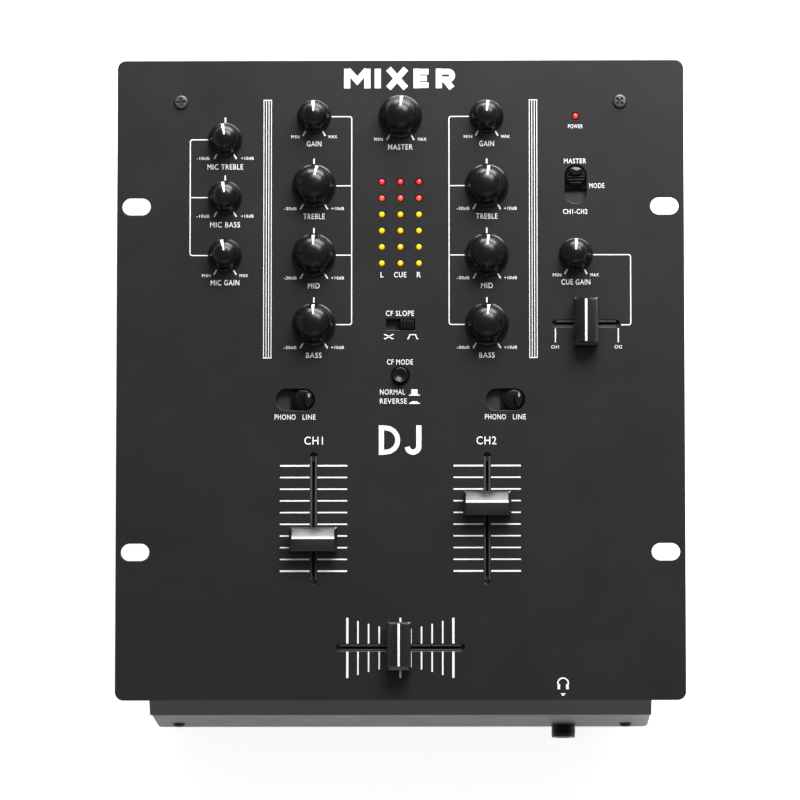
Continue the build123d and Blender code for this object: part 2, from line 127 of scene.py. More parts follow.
POWDER = surface("powder_coat", (0.010, 0.010, 0.0105), (0.0125, 0.0125, 0.013), (0.35, 0.39), 2600,
                 0.000012, blotch=25, shine=0.30)
CASE = surface("case_coat", (0.010, 0.010, 0.0105), (0.014, 0.014, 0.0145), (0.42, 0.48), 2600, 0.00002,
               blotch=25, shine=0.22)
KNOB = surface("knob_gloss", (0.002, 0.002, 0.0025), (0.003, 0.003, 0.004), (0.25, 0.31), 1800, 0.000005,
               shine=0.36)
NUB = surface("nub_gloss", (0.003, 0.003, 0.003), (0.005, 0.005, 0.005), (0.10, 0.14), 1800, 0.000003)
CAP = surface("cap_gloss", (0.005, 0.005, 0.006), (0.008, 0.008, 0.009), (0.19, 0.24), 1800, 0.000006)
SWITCH = surface("switch_satin", (0.004, 0.004, 0.004), (0.007, 0.007, 0.007), (0.24, 0.34), 2400, 0.00001,
                 shine=0.16)
SOCKET = surface("socket_black", (0.010, 0.010, 0.010), (0.016, 0.016, 0.016), (0.38, 0.5), 2600, 0.00002)
INK = surface("white_ink", (0.80, 0.80, 0.81), (0.90, 0.90, 0.90), (0.42, 0.55), 3000, 0.000006)
WHITE = surface("white_paint", (0.86, 0.86, 0.88), (0.94, 0.94, 0.95), (0.32, 0.45), 2500, 0.000006)
SCREW = surface("screw_dark", (0.08, 0.08, 0.08), (0.13, 0.13, 0.13), (0.28, 0.38), 3200, 0.00001,
                metallic=0.85)
DARK_SCREW = surface("case_screw", (0.012, 0.012, 0.012), (0.022, 0.022, 0.022), (0.30, 0.42), 3200,
                     0.00001, metallic=0.4)
STEEL = surface("zinc_steel", (0.42, 0.42, 0.43), (0.56, 0.56, 0.57), (0.26, 0.4), 2200, 0.00001,
                metallic=1.0)
DARK_STEEL = surface("dark_steel", (0.02, 0.02, 0.021), (0.035, 0.035, 0.036), (0.4, 0.55), 2200,
                     0.00001, metallic=0.7)
NICKEL = surface("nickel", (0.62, 0.60, 0.55), (0.72, 0.70, 0.66), (0.14, 0.24), 1500, 0.000006,
                 metallic=1.0)
RUBBER = surface("foot_rubber", (0.012, 0.012, 0.012), (0.022, 0.022, 0.022), (0.7, 0.85), 3000, 0.00006)
# Slot felt: a dark grey, partly the felt's own colour and partly painted light that lifts it above the
# plate's black against the shade inside the slots.
FELT_WITH_PAINTED_LIGHT = surface("slot_felt", (0.030, 0.030, 0.0305), (0.038, 0.038, 0.0385), (0.75, 0.9), 4000, 0.00003)
BOARD = surface("board_green", (0.010, 0.065, 0.026), (0.014, 0.085, 0.036), (0.3, 0.42), 900, 0.00001)
RED_RING = surface("red_ring", (0.42, 0.012, 0.012), (0.52, 0.02, 0.02), (0.3, 0.42), 2400, 0.00001)
WHITE_RING = surface("white_ring", (0.72, 0.72, 0.70), (0.82, 0.82, 0.80), (0.3, 0.42), 2400, 0.00001)
RED_LENS = surface("red_lamp", (0.25, 0.004, 0.006), (0.32, 0.006, 0.009), (0.1, 0.2), 1500, 0.000004)
RED_LAMP = glow(RED_LENS, (1.0, 0.055, 0.07), 0.9)
ORANGE_LENS = surface("orange_lamp", (0.32, 0.015, 0.01), (0.38, 0.02, 0.014), (0.1, 0.2), 1500, 0.000004)
ORANGE_LAMP = glow(ORANGE_LENS, (1.0, 0.16, 0.10), 0.95)
YELLOW_LENS = surface("yellow_lamp", (0.30, 0.17, 0.003), (0.36, 0.21, 0.005), (0.1, 0.2), 1500, 0.000004)
YELLOW_LAMP = glow(YELLOW_LENS, (1.0, 0.72, 0.02), 0.95)


def dress(name, material):
    """Gives a CAD node its finish."""
    slots = frame["nodes"][name].data.materials
    slots.clear()
    slots.append(material)


NODE_FINISH = {
    "faceplate": POWDER, "chassis_tub": CASE, "rear_panel": CASE, "faceplate_screws": SCREW,
    "case_screws": SCREW, "rubber_feet": RUBBER, "circuit_boards": BOARD, "board_standoffs": STEEL,
    "pot_bodies": DARK_STEEL, "fader_frames": DARK_STEEL, "switch_housings": SOCKET,
    "red_lamps": RED_LAMP, "amber_lamps": YELLOW_LAMP, "quarter_inch_jacks": SOCKET,
    "rca_shells": NICKEL, "rca_blocks": SOCKET, "xlr_outputs": SOCKET, "ground_posts": NICKEL,
    "power_inlet": SOCKET, "rocker_housing": SOCKET, "reverse_button": KNOB, "power_rocker": SWITCH,
}
for node_name in frame["nodes"]:
    if node_name in NODE_FINISH:
        dress(node_name, NODE_FINISH[node_name])
    elif node_name.endswith(("_shaft", "_carriage")):
        dress(node_name, STEEL)
    elif node_name.endswith("_knob"):
        dress(node_name, KNOB)
    elif node_name.endswith("_cap"):
        dress(node_name, CAP)
    else:
        dress(node_name, SWITCH)


# ---------------------------------------------------------------- mesh tools

def add_piece(name, bm, body, material, sharp=32.0):
    """Turns a bmesh in frame metres into a piece that rides on a body."""
    bmesh.ops.recalc_face_normals(bm, faces=bm.faces)
    for edge in bm.edges:
        edge.smooth = len(edge.link_faces) == 2 and edge.calc_face_angle() < math.radians(sharp)
    for face in bm.faces:
        face.smooth = True
    mesh = bpy.data.meshes.new(name)
    bm.to_mesh(mesh)
    bm.free()
    mesh.materials.append(material)
    piece = bpy.data.objects.new(name, mesh)
    bpy.context.scene.collection.objects.link(piece)
    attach(piece, body)
    return piece


def lathe(bm, profile, steps, frame_at, radius_at=None, height_at=None):
    """Turns (radius, height) points in millimetres about the local Z axis of frame_at. A point
    with no radius is a pole. radius_at and height_at(radius, height, angle) may vary them."""
    rings = []
    for radius, height in profile:
        if radius == 0:
            rings.append([bm.verts.new(frame_at @ Vector((0, 0, height * MM)))])
            continue
        ring = []
        for step in range(steps):
            angle = 2 * math.pi * step / steps
            r = radius_at(radius, height, angle) if radius_at else radius
            z = height_at(radius, height, angle) if height_at else height
            ring.append(bm.verts.new(frame_at @ Vector((r * MM * math.cos(angle), r * MM * math.sin(angle),
                                                        z * MM))))
        rings.append(ring)
    for low, high in zip(rings, rings[1:]):
        for step in range(steps):
            after = (step + 1) % steps
            corners = [low[step % len(low)], low[after % len(low)], high[after % len(high)],
                       high[step % len(high)]]
            corners = list(dict.fromkeys(corners))
            bm.faces.new(corners)


def rounded_box(bm, size, centre, bevel, turn=Matrix.Identity(4)):
    """A box of size millimetres whose edges are rounded, at a point in frame metres."""
    made = bmesh.ops.create_cube(bm, size=1.0)
    stretch = Matrix.Diagonal((size[0] * MM, size[1] * MM, size[2] * MM, 1))
    place = Matrix.Translation(centre) @ turn @ stretch
    bmesh.ops.transform(bm, matrix=place, verts=made["verts"])
    edges = list({edge for vert in made["verts"] for edge in vert.link_edges})
    bmesh.ops.bevel(bm, geom=edges, offset=bevel * MM, segments=3, profile=0.5, affect="EDGES")


def stroke(bm, points, width, low=-0.02, high=0.03):
    """An inked line through faceplate points, with mitred corners and a little thickness."""
    rows = []
    count = len(points)
    for index, (x, y) in enumerate(points):
        before = points[max(index - 1, 0)]
        after = points[min(index + 1, count - 1)]
        into = Vector((x - before[0], y - before[1])).normalized() if index else None
        out = Vector((after[0] - x, after[1] - y)).normalized() if index < count - 1 else None
        along = ((into or out) + (out or into)).normalized()
        side = Vector((-along.y, along.x))
        reach = width / 2 / max(0.3, abs(side.dot(Vector((-(out or into).y, (out or into).x)))))
        row = []
        for sign, z in ((1, low), (1, high), (-1, high), (-1, low)):
            row.append(bm.verts.new(on_plate(x + sign * side.x * reach, y + sign * side.y * reach, z)))
        rows.append(row)
    for first, second in zip(rows, rows[1:]):
        for index in range(4):
            after = (index + 1) % 4
            bm.faces.new((first[index], first[after], second[after], second[index]))
    bm.faces.new(rows[0])
    bm.faces.new(rows[-1])


def corner(x, y, radius, start):
    """Points of a quarter turn about (x, y), starting at that angle in degrees, anticlockwise."""
    points = []
    for step in range(7):
        angle = math.radians(start + 15 * step)
        points.append((x + radius * math.cos(angle), y + radius * math.sin(angle)))
    return points


def label(bm, words, x, y, height, width, weight=0.006, low=-0.02, high=0.03):
    """Printed capitals of that height and width, their middle at (x, y) on the faceplate."""
    text = bpy.data.curves.new("label", "FONT")
    text.body = words
    text.align_x = "CENTER"
    text.align_y = "CENTER"
    text.offset = weight
    text.resolution_u = 3
    text.space_character = 1.12
    text.extrude = 0.5
    holder = bpy.data.objects.new("label", text)
    bpy.context.scene.collection.objects.link(holder)
    bpy.context.view_layer.update()
    shape = bpy.data.meshes.new_from_object(holder.evaluated_get(bpy.context.evaluated_depsgraph_get()))
    box = [(min(values), max(values)) for values in zip(*(vert.co for vert in shape.vertices))]
    scale = Vector((width / (box[0][1] - box[0][0]), height / (box[1][1] - box[1][0])))
    middle = Vector((sum(box[0]) / 2, sum(box[1]) / 2))
    for vert in shape.vertices:
        at = vert.co
        vert.co = on_plate(x + (at.x - middle.x) * scale.x, y + (at.y - middle.y) * scale.y,
                           low + (at.z + 0.5) * (high - low))
    bm.from_mesh(shape)
    bpy.data.objects.remove(holder)
    bpy.data.curves.remove(text)
    bpy.data.meshes.remove(shape)


# ---------------------------------------------------------------- knobs

# Radii of the skirt, foot and shoulder, the shoulder's and the dome's heights, how many flutes,
# and how far from the middle the printed tick stands and the pointer begins.
KNOB_SHAPES = {
    "small": {"skirt": 7.6, "foot": 6.9, "shoulder": 6.3, "rise": 5.4, "height": 12.0, "flutes": 28,
              "tick": 8.8, "pointer": 0.6},
    "medium": {"skirt": 9.75, "foot": 8.85, "shoulder": 8.2, "rise": 5.6, "height": 14.0, "flutes": 36,
               "tick": 10.9, "pointer": 2.4},
}
FLUTE_DEPTH = 0.22
KNOB_FOOT = 2.1


def knob_outline(shape):
    """The knob's outer (radius, height) points from its foot up to the top of its dome."""
    points = []
    for step in range(6):
        t = step / 6
        points.append((shape["foot"] + (shape["shoulder"] - shape["foot"]) * t,
                       KNOB_FOOT + (shape["rise"] - KNOB_FOOT) * t))
    for step in range(21):
        angle = math.radians(90 * step / 20)
        points.append((shape["shoulder"] * math.cos(angle) ** 0.86 if step < 20 else 0,
                       shape["rise"] + (shape["height"] - shape["rise"]) * math.sin(angle) ** 0.94))
    return points


def make_knob(name, centre, turn, shape):
    """A glossy fluted knob with a thin skirt, bored for its shaft."""
    skirt = shape["skirt"]
    bore = 3.04
    under = [(0, 9.06), (bore, 9.06), (bore, 3.85), (4.4, 3.85), (4.4, 0.6), (skirt - 0.35, 0.6),
             (skirt - 0.08, 0.72), (skirt, 1.0), (skirt - 0.06, 1.3), (skirt - 0.3, 1.5),
             (shape["foot"] + 0.45, 1.62), (shape["foot"] + 0.12, 1.78)]
    flutes = shape["flutes"]

    def fluted(radius, height, angle):
        if height < KNOB_FOOT or radius < 3.1:
            return radius
        share = radius / shape["shoulder"]
        fade = min(1.0, max(0.0, (share - 0.80) / 0.2)) + 0.10 * share
        return radius - FLUTE_DEPTH * fade * (0.5 - 0.5 * math.cos(flutes * angle)) ** 2

    bm = bmesh.new()
    place = Matrix.Translation(centre) @ Matrix.Rotation(math.radians(-turn), 4, "Z")
    lathe(bm, under + knob_outline(shape), flutes * 4, place, fluted)
    knob = add_piece(f"{name}_knob_body", bm, f"{name}_control", KNOB, sharp=50)
    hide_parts(f"{name}_knob")


def make_pointer(name, centre, turn, shape):
    """The white pointer inlaid in the knob's dome and side."""
    inner = shape["pointer"]
    line = [point for point in reversed(knob_outline(shape)) if point[0] >= inner and point[1] > 3.2]
    bm = bmesh.new()
    place = Matrix.Translation(centre) @ Matrix.Rotation(math.radians(-turn), 4, "Z")
    rows = []
    for index, (radius, height) in enumerate(line):
        share = min(1.0, index / (len(line) * 0.5))
        half = 0.30 + 0.32 * share
        before = Vector(line[max(index - 1, 0)])
        after = Vector(line[min(index + 1, len(line) - 1)])
        along = (after - before).normalized()
        out = Vector((-along.y, along.x))
        if out.y < 0 and abs(out.y) > abs(out.x):
            out = -out
        if out.x < 0 and abs(out.x) > abs(out.y):
            out = -out
        row = []
        for side, lift in ((-half, -0.35), (-half, 0.06), (half, 0.06), (half, -0.35)):
            row.append(bm.verts.new(place @ Vector((side * MM, (radius + out.x * lift) * MM,
                                                    (height + out.y * lift) * MM))))
        rows.append(row)
    for first, second in zip(rows, rows[1:]):
        for index in range(4):
            after = (index + 1) % 4
            bm.faces.new((first[index], first[after], second[after], second[index]))
    bm.faces.new(rows[0])
    bm.faces.new(rows[-1])
    add_piece(f"{name}_pointer", bm, f"{name}_control", WHITE, sharp=40)


ROTARY = {}
for joint in frame["joints"]:
    if joint["name"].endswith("_turn"):
        control = joint["name"].removesuffix("_turn")
        low, high = joint["range_deg"]
        width = (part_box(f"{control}_knob")[1].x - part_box(f"{control}_knob")[0].x) / MM
        size = "medium" if width > 17 else "small"
        at = Vector(joint["pos_m"])
        ROTARY[control] = {"at": at, "x": at.x / MM, "y": (at.y - MIDDLE_Y) / MM, "size": size}
        make_knob(control, at, -(low + high) / 2, KNOB_SHAPES[size])
        make_pointer(control, at, -(low + high) / 2, KNOB_SHAPES[size])


# ---------------------------------------------------------------- fader caps

CAP_END, CAP_SIDE, CAP_STEP, CAP_RIDGE = 10.75, 5.4, 1.2, 0.5
CAP_LOW, CAP_TOP = 1.3, 12.75
CAP_EAVE = CAP_TOP - (CAP_SIDE - CAP_RIDGE)


def make_cap(name, body):
    """A fader cap with upright sides, two slopes up to its ridge, and ends that step in."""
    low_corner, high_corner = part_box(f"{name}_cap")
    centre = (low_corner + high_corner) / 2
    across = (high_corner.x - low_corner.x) > (high_corner.y - low_corner.y)
    turn = Matrix.Identity(4) if across else Matrix.Rotation(math.pi / 2, 4, "Z")
    place = Matrix.Translation((centre.x, centre.y, TOP)) @ turn
    half = [(CAP_SIDE, CAP_LOW), (CAP_SIDE, CAP_EAVE), (CAP_SIDE - CAP_STEP, CAP_EAVE + CAP_STEP),
            (CAP_RIDGE, CAP_TOP)]
    ring = half + [(-distance, height) for distance, height in reversed(half)]
    inner = CAP_END - CAP_STEP
    stations = ((-CAP_END, CAP_EAVE), (-inner, CAP_EAVE + CAP_STEP), (-inner, CAP_TOP), (inner, CAP_TOP),
                (inner, CAP_EAVE + CAP_STEP), (CAP_END, CAP_EAVE))
    bm = bmesh.new()
    rows = []
    for along, limit in stations:
        rows.append([bm.verts.new(place @ Vector((along * MM, distance * MM, min(height, limit) * MM)))
                     for distance, height in ring])
    for first, second in zip(rows, rows[1:]):
        for index in range(len(ring)):
            after = (index + 1) % len(ring)
            bm.faces.new((first[index], first[after], second[after], second[index]))
    bm.faces.new(rows[0])
    bm.faces.new(rows[-1])
    bmesh.ops.remove_doubles(bm, verts=bm.verts, dist=1e-6)
    bmesh.ops.dissolve_degenerate(bm, dist=1e-6, edges=bm.edges)
    bmesh.ops.recalc_face_normals(bm, faces=bm.faces)
    edges = [edge for edge in bm.edges if edge.calc_face_angle(0) > math.radians(25)]
    bmesh.ops.bevel(bm, geom=edges, offset=0.22 * MM, segments=3, profile=0.5, affect="EDGES",
                    clamp_overlap=True)
    cap = add_piece(f"{name}_cap_body", bm, body, CAP, sharp=38)
    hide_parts(f"{name}_cap")
    bm = bmesh.new()
    rounded_box(bm, (2 * inner - 0.1, 1.0, 0.6), Vector((centre.x, centre.y, TOP + (CAP_TOP - 0.22) * MM)),
                0.1, turn)
    add_piece(f"{name}_cap_line", bm, body, WHITE)


# The length of each fader's slot in the faceplate.
FADER_SLOTS = {"channel_1_fader": 58.7, "channel_2_fader": 58.7, "crossfader": 57.3, "cue_fader": 29.8}
for fader in FADER_SLOTS:
    make_cap(fader, f"{fader}_slider")


# ---------------------------------------------------------------- switches, button, screws and lamps

def half_ball(bm, centre, radii, segments=32, rings=10):
    """An ellipsoid of those radii in millimetres."""
    made = bmesh.ops.create_uvsphere(bm, u_segments=segments, v_segments=rings * 2, radius=MM)
    place = Matrix.Translation(centre) @ Matrix.Diagonal((*radii, 1))
    bmesh.ops.transform(bm, matrix=place, verts=made["verts"])


def make_slide_lever(name, turned):
    """A ridged slider in its slot with a raised round nub at one end."""
    low_corner, high_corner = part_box(f"{name}_lever")
    centre = (low_corner + high_corner) / 2
    turn = Matrix.Rotation(math.radians(turned), 4, "Z")
    place = Matrix.Translation((centre.x, centre.y, TOP)) @ turn
    bm = bmesh.new()
    lathe(bm, [(0, -2.6), (4.55, -2.6), (4.55, -0.5), (4.3, -0.1), (3.9, 0.05), (0, 0.05)], 64, place)
    for index in range(5):
        along = Vector((-3.2 + 1.35 * index, 0, 0.15))
        across = 7.4 if index else 5.0
        rounded_box(bm, (0.7, across, 0.9), place @ (along * MM), 0.25, turn)
    rounded_box(bm, (11.4, 10.2, 1.8), place @ (Vector((0, 0, -3.15)) * MM), 0.3, turn)
    lever = add_piece(f"{name}_lever_body", bm, f"{name}_switch", SWITCH, sharp=40)
    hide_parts(f"{name}_lever")
    bm = bmesh.new()
    half_ball(bm, place @ (Vector((2.1, 0, 0.1)) * MM), (2.2, 3.5, 2.4) if turned == 0 else (3.5, 2.2, 2.4))
    add_piece(f"{name}_lever_nub", bm, f"{name}_switch", NUB, sharp=60)


def make_slope_lever():
    """The small ridged slider of the slope switch."""
    low_corner, high_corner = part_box("crossfader_slope_lever")
    centre = (low_corner + high_corner) / 2
    bm = bmesh.new()
    at = Vector((centre.x, centre.y, TOP))
    rounded_box(bm, (6.3, 4.3, 2.9), at + Vector((0, 0, -1.05)) * MM, 0.25)
    for index in range(5):
        rounded_box(bm, (0.62, 4.2, 1.0), at + Vector(((index - 2) * 1.22, 0, 0.45)) * MM, 0.22)
    rounded_box(bm, (8.5, 5.6, 1.8), at + Vector((0, 0, -3.15)) * MM, 0.3)
    lever = add_piece("crossfader_slope_lever_body", bm, "crossfader_slope_switch",
                      SWITCH, sharp=40)
    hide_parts("crossfader_slope_lever")


def make_button():
    """The reverse button with its glossy dished top."""
    low_corner, high_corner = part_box("reverse_button")
    centre = (low_corner + high_corner) / 2
    profile = [(0, -3.9), (4.85, -3.9), (4.85, -2.4), (3.5, -2.4), (3.5, 2.5), (3.38, 2.82), (3.1, 2.97)]
    for step in range(9):
        radius = 2.9 * (1 - step / 8)
        profile.append((radius, 2.0 + 0.95 * (radius / 2.9) ** 2))
    stem_foot = (low_corner.z - TOP) / MM
    place = Matrix.Translation((centre.x, centre.y, TOP))
    bm = bmesh.new()
    lathe(bm, profile, 64, place)
    lathe(bm, [(0, stem_foot), (1.5, stem_foot), (1.5, -3.8), (0, -3.8)], 24, place)
    button = add_piece("reverse_button_body", bm, "reverse_push", KNOB, sharp=50)
    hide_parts("reverse_button")


def add_screw(bm, frame_at, radius, rise, shank, turn):
    """A pan head with a cross recess and its shank, standing on the local Z axis."""
    profile = [(0, -shank), (1.35, -shank), (1.45, -shank + 0.3), (1.45, 0.0), (radius, 0.0)]
    for step in range(21):
        flat = radius * (1 - step / 20)
        edge = min(1.0, (radius - flat) / 0.7)
        height = 0.25 + (rise - 0.3) * math.sin(edge * math.pi / 2) - 0.18 * (flat / radius) ** 2
        profile.append((flat, height))

    def recessed(r, height, angle):
        if height < 0.1:
            return height
        x, y = r * math.cos(angle - turn), r * math.sin(angle - turn)
        arm = min(abs(x), abs(y))
        reach = max(abs(x), abs(y))
        if arm > 0.48 or reach > radius * 0.62:
            return height
        return height - 1.05 * min(1.0, (0.48 - arm) / 0.12, (radius * 0.62 - reach) / 0.5)

    lathe(bm, profile, 96, frame_at, height_at=recessed)


def make_screws():
    """Two screws in the faceplate, two in the front wall and four in the rear panel."""
    bm = bmesh.new()
    for x, turn in ((-98.4, 0.12), (98.4, 0.85)):
        add_screw(bm, Matrix.Translation(on_plate(x, 125.0)), 3.3, 1.5, 6.5, turn)
    heads = add_piece("faceplate_screw_heads", bm, ROOT, SCREW, sharp=35)
    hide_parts("faceplate_screws")
    bm = bmesh.new()
    for x, turn in ((-101.0, 0.3), (101.0, 1.0)):
        add_screw(bm, Matrix.Translation((x * MM, WALL_FACE, 27 * MM)) @ FORWARD, 3.0, 1.5, 5.5, turn)
    for x, z, turn in ((-107.0, 15.0, 0.2), (107.0, 15.0, 0.6), (-107.0, 75.0, 0.9), (107.0, 75.0, 0.4)):
        add_screw(bm, Matrix.Translation((x * MM, PANEL_FACE, z * MM)) @ BACKWARD, 3.0, 1.5, 5.5, turn)
    heads = add_piece("case_screw_heads", bm, ROOT, DARK_SCREW, sharp=35)
    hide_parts("case_screws")


def make_lamps():
    """The level meter's and the power lamp's lenses, from red at the top to yellow."""
    profile = [(0, -3.5), (1.85, -3.5), (1.85, -2.6), (1.5, -2.6), (1.5, -0.2)]
    for step in range(1, 13):
        angle = math.radians(90 * step / 12)
        profile.append((1.5 * math.cos(angle) if step < 12 else 0, -0.2 + 1.5 * math.sin(angle)))
    rows = {"red": [0], "orange": [1], "yellow": [2, 3, 4, 5]}
    looks = {"red": RED_LAMP, "orange": ORANGE_LAMP, "yellow": YELLOW_LAMP}
    for colour, numbers in rows.items():
        bm = bmesh.new()
        places = [(column * 8.3, 88.6 - 7.35 * row) for row in numbers for column in (-1, 0, 1)]
        if colour == "red":
            places.append((78.5, 118.3))
        for x, y in places:
            lathe(bm, profile, 32, Matrix.Translation(on_plate(x, y)))
            for side in (-0.65, 0.65):
                lathe(bm, [(0, -14.3), (0.24, -14.3), (0.24, -3.4), (0, -3.4)], 8,
                      Matrix.Translation(on_plate(x + side, y)))
        lamps = add_piece(f"{colour}_lamp_lenses", bm, ROOT, looks[colour], sharp=40)
        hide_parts("amber_lamps" if colour == "yellow" else "red_lamps")


def make_dust_lips():
    """Two felt lips just inside each fader slot, with a gap for the tongue between them."""
    bm = bmesh.new()
    for fader, slot_length in FADER_SLOTS.items():
        joint = JOINTS[f"{fader}_slide"]
        low_corner, high_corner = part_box(f"{fader}_cap")
        across = abs(joint["axis"][0]) > 0.5
        centre = (low_corner + high_corner) / 2 + Vector(joint["axis"]) * sum(joint["range_m"]) / 2
        length = slot_length - 3.1
        for side in (-1, 1):
            at = Vector((centre.x, centre.y, TOP - 0.55 * MM))
            at += Vector((0, side, 0) if across else (side, 0, 0)) * 1.07 * MM
            rounded_box(bm, (length, 0.86, 0.5) if across else (0.86, length, 0.5), at, 0.06)
    # The lips' grey is partly painted light, lifted against the shade inside the slots.
    add_piece("fader_dust_lips", bm, ROOT, FELT_WITH_PAINTED_LIGHT)


def soften_faceplate():
    """Rounds off the sheared edges of the faceplate and its slots."""
    plate = frame["nodes"]["faceplate"]
    bevel = plate.modifiers.new("sheared_edges", "BEVEL")
    bevel.width = 0.2 * MM
    bevel.segments = 2
    bevel.limit_method = "ANGLE"
    bevel.angle_limit = math.radians(50)
    bevel.harden_normals = True


for switch in ("channel_1_source", "channel_2_source"):
    make_slide_lever(switch, 0)
make_slide_lever("cue_mode", 90)
make_slope_lever()
make_button()
make_screws()
make_lamps()
make_dust_lips()
soften_faceplate()


# ---------------------------------------------------------------- sockets on the rear and front

def make_phono_rings():
    """The coloured insulation ring inside each phono socket: red below, white above."""
    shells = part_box("rca_shells")
    middle = (shells[0].z + shells[1].z) / 2
    outline = [(1.75, 6.0), (3.5, 6.0), (3.5, 8.35), (3.3, 8.5), (1.95, 8.5), (1.75, 8.35), (1.75, 6.0)]
    rings = {"red": (-1, RED_RING), "white": (1, WHITE_RING)}
    for colour, (side, finish) in rings.items():
        bm = bmesh.new()
        for x in (-76, -58, -24, -6, 14):
            place = Matrix.Translation((x * MM, PANEL_FACE, middle + side * 8.5 * MM)) @ BACKWARD
            lathe(bm, outline, 40, place)
            bmesh.ops.remove_doubles(bm, verts=bm.verts, dist=1e-7)
        add_piece(f"phono_{colour}_rings", bm, ROOT, finish, sharp=40)


JACK_DROP = 70 * MM


def make_jack_threads():
    """The fine threads on the outside of each 6.35 mm socket's barrel."""
    reach = (WALL_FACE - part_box("quarter_inch_jacks")[0].y) / MM
    places = ((Matrix.Translation((73 * MM, WALL_FACE, TOP - JACK_DROP)) @ FORWARD, reach),
              (Matrix.Translation((-96 * MM, PANEL_FACE, 46 * MM)) @ BACKWARD, 5.0))
    bm = bmesh.new()
    for place, tall in places:
        outline = [(5.0, 0.1)]
        turns = int((tall - 0.7) / 0.7)
        for index in range(turns):
            foot = 0.15 + index * 0.7
            outline += [(5.22, foot), (5.45, foot + 0.2), (5.45, foot + 0.35), (5.22, foot + 0.6)]
        outline += [(5.0, outline[-1][1] + 0.02), (5.0, 0.1)]
        lathe(bm, outline, 64, place)
    bmesh.ops.remove_doubles(bm, verts=bm.verts, dist=1e-7)
    add_piece("jack_threads", bm, ROOT, SWITCH, sharp=30)


make_phono_rings()
make_jack_threads()


# ---------------------------------------------------------------- printing on the faceplate

def print_piece(name, draw):
    """One printed group, drawn by a function into its own mesh."""
    bm = bmesh.new()
    draw(bm)
    bmesh.ops.remove_doubles(bm, verts=bm.verts, dist=1e-7)
    add_piece(name, bm, ROOT, INK, sharp=20)


def knob_marks(bm):
    """A tick at each end of a knob's turn, and one at its middle on a tone knob."""
    for name, place in ROTARY.items():
        shape = KNOB_SHAPES[place["size"]]
        angles = [-150, 150]
        if name.endswith(("treble", "mid", "bass")):
            angles.append(0)
        length = 2.8 if place["size"] == "medium" else 2.5
        for angle in angles:
            out = Vector((math.sin(math.radians(angle)), math.cos(math.radians(angle))))
            ends = [shape["tick"] - length / 2, shape["tick"] + length / 2]
            stroke(bm, [(place["x"] + out.x * r, place["y"] + out.y * r) for r in ends], 0.68)


NAME_WIDTHS = {"GAIN": 6.6, "TREBLE": 9.6, "MID": 5.3, "BASS": 6.9, "MASTER": 11.0, "MIC TREBLE": 16.0,
               "MIC BASS": 13.4, "MIC GAIN": 12.8, "CUE GAIN": 12.9}


def knob_names(bm):
    """Each knob's name under it, from the name of its joint."""
    for name, place in ROTARY.items():
        words = name.replace("channel_1_", "").replace("channel_2_", "").replace("_level", "")
        words = words.replace("_", " ").upper()
        drop = 13.8 if place["size"] == "medium" else 12.3
        label(bm, words, place["x"], place["y"] - drop, 2.45, NAME_WIDTHS[words])


def knob_ends(bm):
    """The value at each end of a knob's turn."""
    for name, place in ROTARY.items():
        tone = name.endswith(("treble", "mid", "bass"))
        medium = place["size"] == "medium"
        reach = (10.6 if medium else 9.9) if tone else (9.8 if medium else 8.4)
        drop = 10.3 if medium else (8.4 if tone else 9.1)
        low, high = ("-30dB", "+10dB") if tone else ("MIN", "MAX")
        if name.startswith("mic") and tone:
            low = "-10dB"
        width = 5.7 if tone else 3.8
        label(bm, low, place["x"] - reach, place["y"] - drop, 1.4, width)
        label(bm, high, place["x"] + reach, place["y"] - drop, 1.4, width)


BRACKET_WIDTH = 0.46
CHANNEL_X = 38.7


def brackets(bm):
    """The lines that tie the microphone knobs, each channel's knobs, and the cue controls."""
    spine = -94.2
    rows = [ROTARY[name]["y"] for name in ("mic_treble", "mic_bass", "mic_gain")]
    reach = -86.2
    bends = corner(spine + 1, rows[0] - 1, 1, 90) + corner(spine + 1, rows[2] + 1, 1, 180)
    stroke(bm, [(reach, rows[0])] + bends + [(reach, rows[2])], BRACKET_WIDTH)
    stroke(bm, [(spine, rows[1]), (reach, rows[1])], BRACKET_WIDTH)
    for side, channel in ((-1, "channel_1"), (1, "channel_2")):
        rows = [ROTARY[f"{channel}_{name}"]["y"] for name in ("gain", "treble", "mid", "bass")]
        spine = side * 21.8
        ends = [side * (CHANNEL_X - 7.9)] + 3 * [side * (CHANNEL_X - 9.9)]
        top = corner(spine + side, rows[0] - 1, 1, 0 if side < 0 else 90)
        low = corner(spine + side, rows[3] + 1, 1, 270 if side < 0 else 180)
        if side < 0:
            top.reverse()
            low.reverse()
        stroke(bm, [(ends[0], rows[0])] + top + low + [(ends[3], rows[3])], BRACKET_WIDTH)
        for index in (1, 2):
            stroke(bm, [(spine, rows[index]), (ends[index], rows[index])], BRACKET_WIDTH)
    knob = ROTARY["cue_gain"]
    spine, foot = 103.0, 24.0
    top = corner(spine - 1, knob["y"] - 1, 1, 0)
    low = corner(spine - 1, foot + 1, 1, 270)
    top.reverse()
    low.reverse()
    stroke(bm, [(knob["x"] + 7.8, knob["y"])] + top + low + [(98.7, foot)], BRACKET_WIDTH)


def separators(bm):
    """Four thin lines beside each channel's knobs, closed at both ends."""
    for side in (-1, 1):
        centre = side * 59.5
        for index in range(4):
            x = centre + (index - 1.5) * 1.12
            stroke(bm, [(x, 125.7), (x, 9.5)], 0.33)
        for y in (125.9, 9.3):
            stroke(bm, [(centre - 1.9, y), (centre + 1.9, y)], 0.4)


CROSS_SCALE = ((-111.2, -130.4), (-110.0, -131.4), (-108.7, -132.8), (-107.3, -134.1))


